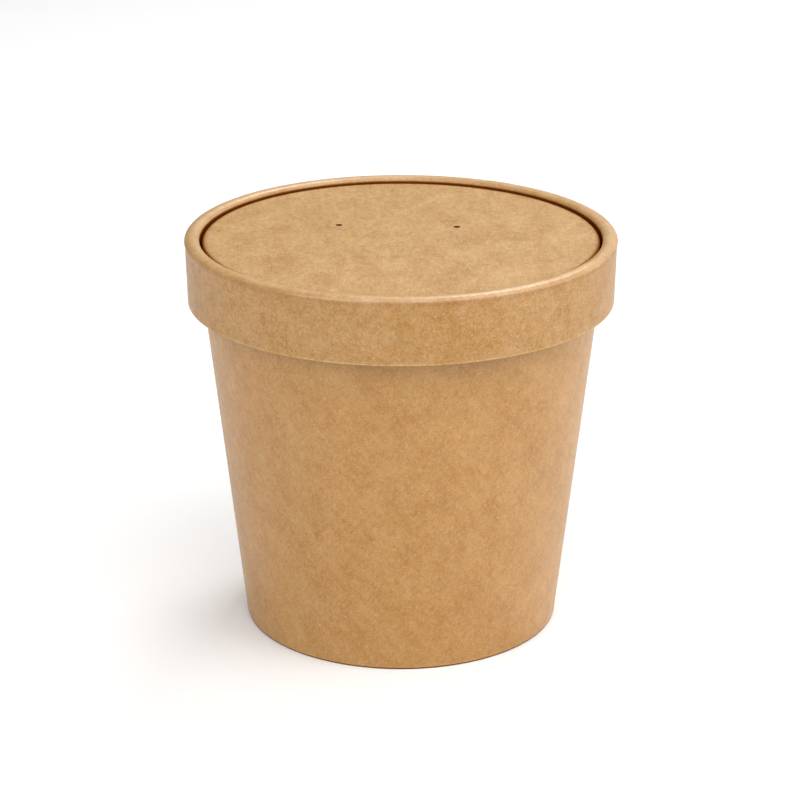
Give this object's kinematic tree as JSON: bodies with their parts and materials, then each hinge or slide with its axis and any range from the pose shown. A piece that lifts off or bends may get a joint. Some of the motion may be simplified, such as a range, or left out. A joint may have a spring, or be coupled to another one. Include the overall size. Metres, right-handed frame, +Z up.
{
  "type": "takeaway soup container",
  "caption": "Round tapered soup container of brown kraft board with a recessed base, shut by a fitted paper lid with a crowned rim, a straight skirt and a sunken flat panel with vents.",
  "frame": {"origin": "centre of the foot ring's underside, on the surface that the container stands on", "axes": "+Z up along the container's axis; +X along the line of the two vents, to the right as seen from the front; +Y to the back, where the glued seams are"},
  "size_m": [0.118, 0.118, 0.1106],
  "materials": {
    "cup_kraft": "uncoated brown kraft board with fine fibres and flecks",
    "base_kraft": "uncoated brown kraft board",
    "lid_kraft": "uncoated brown kraft board with a slight sheen on the pressed rim",
    "panel_kraft": "uncoated brown kraft board, softly mottled"
  },
  "bodies": {
    "root": {"cup": "cup_kraft", "cup_base": "base_kraft", "lid_skirt": "lid_kraft", "lid_panel": "panel_kraft"}
  },
  "joints": []
}
